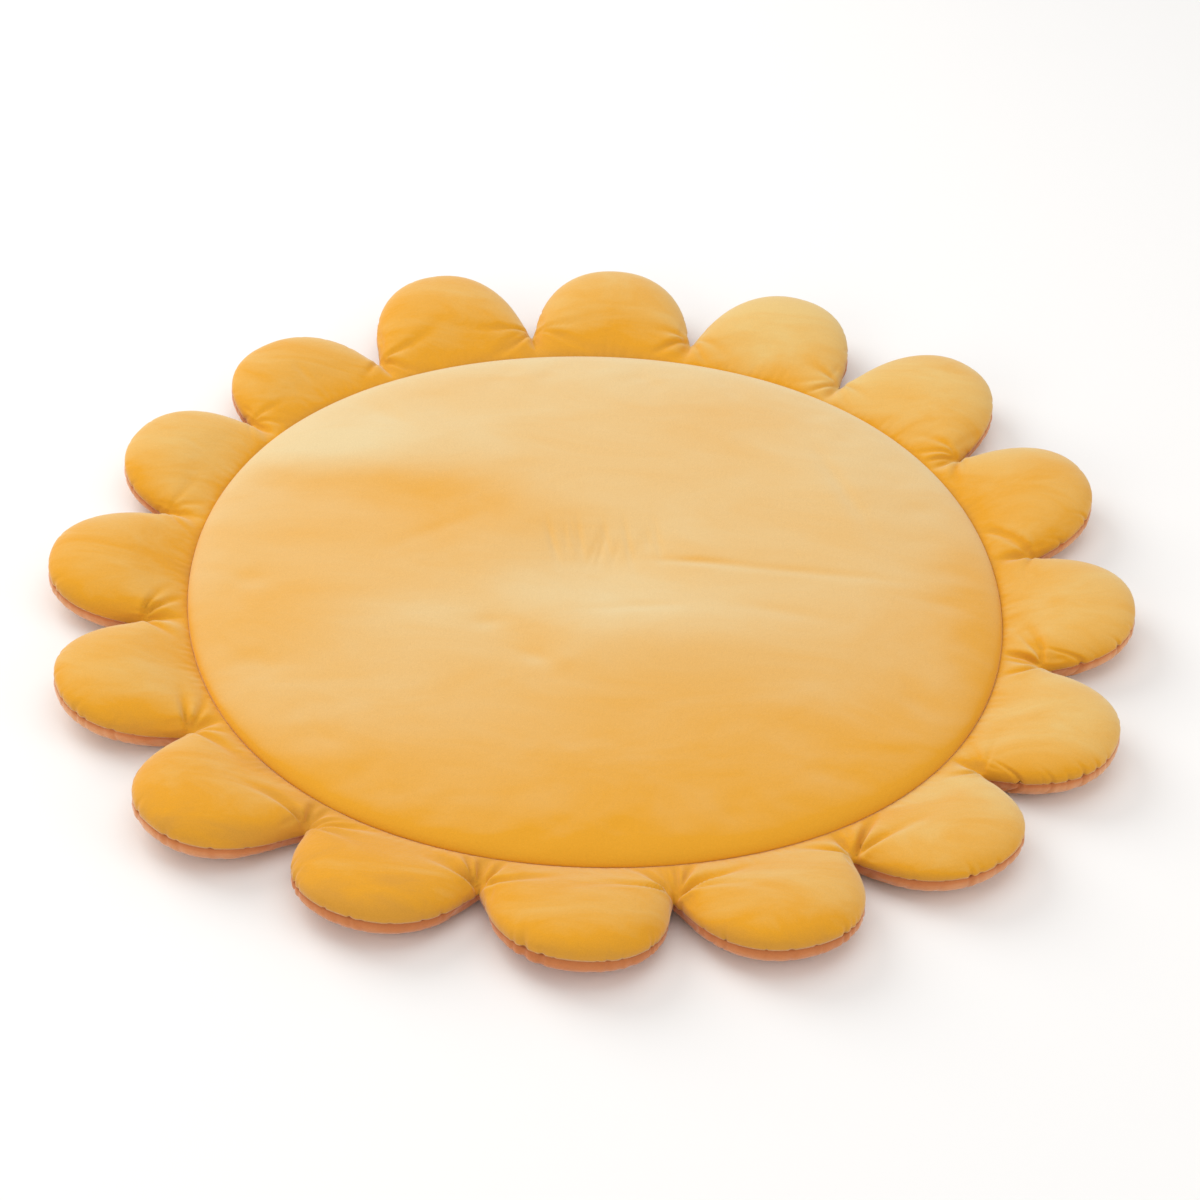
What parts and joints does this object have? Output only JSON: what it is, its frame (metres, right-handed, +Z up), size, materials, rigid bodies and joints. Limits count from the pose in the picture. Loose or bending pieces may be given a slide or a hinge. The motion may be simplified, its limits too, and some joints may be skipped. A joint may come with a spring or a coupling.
{
  "type": "flower-shaped play mat",
  "caption": "Filled velvet floor mat in the shape of a flower, with a round centre pad and a ring of plump rounded petals, for playing or lying on.",
  "frame": {"origin": "on the floor, under the middle of the mat's box", "axes": "+Z up from the floor; +Y along the axis of one petal, and +X along the axis of the fourth petal clockwise from it"},
  "size_m": [1.19, 1.193, 0.0616],
  "materials": {
    "pad_velvet": "golden-yellow short-pile velvet",
    "petal_velvet": "golden-yellow short-pile velvet",
    "under_velvet": "matte peach velvet"
  },
  "bodies": {
    "root": {"centre_pad": "pad_velvet", "petal_ring": "petal_velvet", "base_panel": "under_velvet"}
  },
  "joints": []
}
